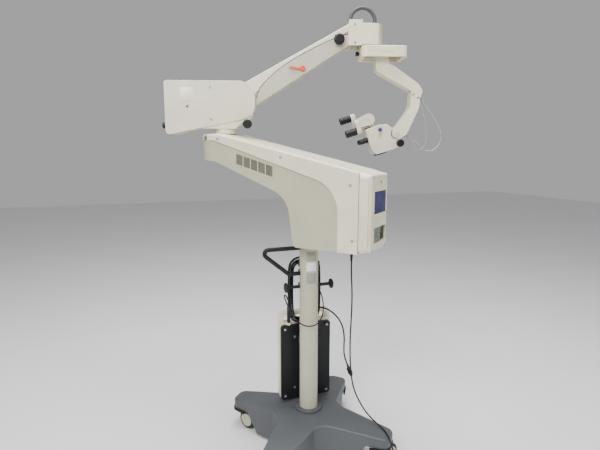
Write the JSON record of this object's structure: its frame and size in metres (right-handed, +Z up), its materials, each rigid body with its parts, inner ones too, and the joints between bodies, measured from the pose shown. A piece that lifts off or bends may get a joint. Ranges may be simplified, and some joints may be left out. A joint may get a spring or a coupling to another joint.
{
  "type": "surgical microscope",
  "caption": "Floor-standing surgical microscope: binocular head on a balanced spring arm, a carrier arm and column, and a cross-shaped castor base with a stowed foot control.",
  "frame": {"origin": "on the floor under the column's axis", "axes": "+Z up the column; X and Y along the sides of the square through the four castors"},
  "size_m": [1.3406, 1.1413, 2.1392],
  "materials": {
    "base_grey": "textured dark grey moulding",
    "cast_metal": "rough cast, painted dark",
    "black_rubber": "matt black rubber",
    "stand_paint": "satin grey-beige paint",
    "cream_paint": "satin cream-white paint",
    "plate_paint": "satin warm light grey paint",
    "scope_paint": "satin light grey paint",
    "black_metal": "satin black powder coat",
    "black_plastic": "matt black moulding",
    "black_cable": "black cable sheath",
    "grey_cable": "mid-grey hose",
    "pale_cable": "pale grey cable sheath",
    "display": "dark display window",
    "module_grey": "grey moulding",
    "orange_plastic": "orange-red moulding",
    "steel": "ground steel",
    "lens_glass": "dark coated lens in a black ring",
    "castor_grey": "grey castor moulding",
    "tyre": "grey-black castor tread"
  },
  "bodies": {
    "stand": {"base_cover": "base_grey", "base_frame": "cast_metal", "bumper_lips": "black_rubber", "column_tube": "stand_paint", "column_collar": "stand_paint", "transport_handle": "black_metal", "column_brackets": "black_metal", "foot_panel_plate": "black_metal", "foot_panel_shell": "cream_paint", "cable_hank": "black_cable", "foot_cable": "black_cable", "plug_lead": "black_cable", "lead_plug": "black_plastic", "floor_cable": "black_cable", "floor_coil": "black_cable", "mains_plug": "black_plastic"},
    "rocker": {"zoom_rocker": "black_plastic"},
    "castor_rear_left": {"castor_fork_rear_left": "castor_grey"},
    "wheels_rear_left": {"castor_wheels_rear_left": "tyre"},
    "brake_rear_left": {"castor_brake_rear_left": "black_plastic"},
    "castor_front_left": {"castor_fork_front_left": "castor_grey"},
    "wheels_front_left": {"castor_wheels_front_left": "tyre"},
    "castor_front_right": {"castor_fork_front_right": "castor_grey"},
    "wheels_front_right": {"castor_wheels_front_right": "tyre"},
    "castor_rear_right": {"castor_fork_rear_right": "castor_grey"},
    "wheels_rear_right": {"castor_wheels_rear_right": "tyre"},
    "brake_rear_right": {"castor_brake_rear_right": "black_plastic"},
    "carrier": {"arm_cover": "cream_paint", "arm_casting": "stand_paint", "arm_end_cover": "cream_paint", "column_bearing": "cast_metal", "display_screen": "display"},
    "lamp": {"lamp_drawer": "module_grey"},
    "head": {"head_casting": "cream_paint", "head_plates": "plate_paint"},
    "head_knob": {"head_brake_knob": "black_plastic"},
    "spring_arm": {"spring_arm_casting": "stand_paint", "spring_arm_cover": "cream_paint", "gas_spring": "steel"},
    "lever": {"lock_lever": "orange_plastic"},
    "balance": {"balance_knob": "black_plastic"},
    "end_unit": {"end_block": "stand_paint", "grey_hose": "grey_cable"},
    "xy_unit": {"xy_housing": "cream_paint"},
    "x_carriage": {"xy_slide": "steel"},
    "c_arm": {"c_arm_upper": "cream_paint", "c_arm_lower": "cream_paint", "scope_cable": "pale_cable"},
    "scope": {"scope_body": "scope_paint", "scope_housing": "scope_paint", "objective_lens": "lens_glass", "hand_grips": "black_plastic", "tube_base": "scope_paint"},
    "tilt_wheel": {"tilt_knob": "black_plastic"},
    "tube": {"tube_head": "scope_paint"},
    "carrier_right": {"eyepiece_carrier_right": "scope_paint"},
    "eyepiece_right": {"eyepiece_right": "black_plastic"},
    "carrier_left": {"eyepiece_carrier_left": "scope_paint"},
    "eyepiece_left": {"eyepiece_left": "black_plastic"}
  },
  "joints": [
    {"name": "rocker_tilt", "type": "hinge", "parent": "stand", "child": "rocker", "pos_m": [0.018, 0.126, 0.428], "axis": [1, 0, 0], "range_deg": [-6, 6], "stiffness_Nm_per_rad": 0.5},
    {"name": "swivel_rear_left", "type": "hinge", "parent": "stand", "child": "castor_rear_left", "pos_m": [-0.26163, 0.26163, 0], "axis": [0, 0, 1], "continuous": true},
    {"name": "roll_rear_left", "type": "hinge", "parent": "castor_rear_left", "child": "wheels_rear_left", "pos_m": [-0.24255, 0.2311, 0.048], "axis": [0.848, 0.5299, 0], "continuous": true},
    {"name": "brake_press_rear_left", "type": "hinge", "parent": "castor_rear_left", "child": "brake_rear_left", "pos_m": [-0.2717, 0.27774, 0.0825], "axis": [0.848, 0.5299, 0], "range_deg": [-10, 8]},
    {"name": "swivel_front_left", "type": "hinge", "parent": "stand", "child": "castor_front_left", "pos_m": [-0.26163, -0.26163, 0], "axis": [0, 0, 1], "continuous": true},
    {"name": "roll_front_left", "type": "hinge", "parent": "castor_front_left", "child": "wheels_front_left", "pos_m": [-0.27394, -0.29546, 0.048], "axis": [0.9397, -0.342, 0], "continuous": true},
    {"name": "swivel_front_right", "type": "hinge", "parent": "stand", "child": "castor_front_right", "pos_m": [0.26163, -0.26163, 0], "axis": [0, 0, 1], "continuous": true},
    {"name": "roll_front_right", "type": "hinge", "parent": "castor_front_right", "child": "wheels_front_right", "pos_m": [0.29546, -0.24932, 0.048], "axis": [-0.342, 0.9397, 0], "continuous": true},
    {"name": "swivel_rear_right", "type": "hinge", "parent": "stand", "child": "castor_rear_right", "pos_m": [0.26163, 0.26163, 0], "axis": [0, 0, 1], "continuous": true},
    {"name": "roll_rear_right", "type": "hinge", "parent": "castor_rear_right", "child": "wheels_rear_right", "pos_m": [0.229, 0.24641, 0.048], "axis": [0.4226, -0.9063, 0], "continuous": true},
    {"name": "brake_press_rear_right", "type": "hinge", "parent": "castor_rear_right", "child": "brake_rear_right", "pos_m": [0.27885, 0.26966, 0.0825], "axis": [0.4226, -0.9063, 0], "range_deg": [-10, 8]},
    {"name": "carrier_turn", "type": "hinge", "parent": "stand", "child": "carrier", "pos_m": [0, 0, 0], "axis": [0, 0, 1], "range_deg": [-110, 150]},
    {"name": "lamp_pull", "type": "slide", "parent": "carrier", "child": "lamp", "axis": [0.6652, -0.7466, 0], "range_m": [0, 0.045]},
    {"name": "head_swivel", "type": "hinge", "parent": "carrier", "child": "head", "pos_m": [-0.31266, 0.35092, 0], "axis": [0, 0, 1], "range_deg": [-25, 150]},
    {"name": "head_knob_turn", "type": "hinge", "parent": "head", "child": "head_knob", "pos_m": [-0.20527, 0.31911, 1.572], "axis": [-0.284, -0.9588, 0], "range_deg": [-170, 170]},
    {"name": "spring_arm_lift", "type": "hinge", "parent": "head", "child": "spring_arm", "pos_m": [-0.25033, 0.33246, 1.679], "axis": [0.284, 0.9588, 0], "range_deg": [-2, 42]},
    {"name": "lever_turn", "type": "hinge", "parent": "spring_arm", "child": "lever", "pos_m": [0.05225, 0.24283, 1.83675], "axis": [-0.284, -0.9588, 0], "range_deg": [-40, 15]},
    {"name": "balance_turn", "type": "hinge", "parent": "spring_arm", "child": "balance", "pos_m": [0.21938, 0.19332, 1.96942], "axis": [-0.284, -0.9588, 0], "continuous": true},
    {"name": "end_level", "type": "hinge", "parent": "spring_arm", "child": "end_unit", "pos_m": [0.27986, 0.17541, 2.0042], "axis": [0.284, 0.9588, 0], "range_deg": [-42, 2]},
    {"name": "scope_turn", "type": "hinge", "parent": "end_unit", "child": "xy_unit", "pos_m": [0.37574, 0.14701, 2.0042], "axis": [0, 0, 1], "range_deg": [-115, 115]},
    {"name": "x_slide", "type": "slide", "parent": "xy_unit", "child": "x_carriage", "axis": [0.9588, -0.284, 0], "range_m": [-0.02, 0.02]},
    {"name": "y_slide", "type": "slide", "parent": "x_carriage", "child": "c_arm", "axis": [0.284, 0.9588, 0], "range_m": [-0.02, 0.02]},
    {"name": "scope_tilt", "type": "hinge", "parent": "c_arm", "child": "scope", "pos_m": [0.50997, 0.10724, 1.5302], "axis": [0.284, 0.9588, 0], "range_deg": [-25, 35]},
    {"name": "tilt_knob_turn", "type": "hinge", "parent": "scope", "child": "tilt_wheel", "pos_m": [0.51684, 0.10521, 1.48227], "axis": [-0.284, -0.9588, 0], "range_deg": [-430, 430]},
    {"name": "tube_tilt", "type": "hinge", "parent": "scope", "child": "tube", "pos_m": [0.36978, 0.14877, 1.59835], "axis": [0.284, 0.9588, 0], "range_deg": [-5, 45]},
    {"name": "pupil_swing_right", "type": "hinge", "parent": "tube", "child": "carrier_right", "pos_m": [0.31358, 0.131, 1.58038], "axis": [-0.9119, 0.2701, -0.309], "range_deg": [-15, 15]},
    {"name": "dioptre_right", "type": "hinge", "parent": "carrier_right", "child": "eyepiece_right", "pos_m": [0.32395, 0.12793, 1.54709], "axis": [-0.9119, 0.2701, -0.309], "range_deg": [-90, 90]},
    {"name": "pupil_swing_left", "type": "hinge", "parent": "tube", "child": "carrier_left", "pos_m": [0.33232, 0.19429, 1.58038], "axis": [-0.9119, 0.2701, -0.309], "range_deg": [-15, 15]},
    {"name": "dioptre_left", "type": "hinge", "parent": "carrier_left", "child": "eyepiece_left", "pos_m": [0.32195, 0.19736, 1.61367], "axis": [-0.9119, 0.2701, -0.309], "range_deg": [-90, 90]}
  ],
  "couplings": [
    {"joint": "end_level", "follows": "spring_arm_lift", "ratio": -1},
    {"joint": "tilt_knob_turn", "follows": "scope_tilt", "ratio": 12},
    {"joint": "pupil_swing_left", "follows": "pupil_swing_right", "ratio": -1}
  ]
}
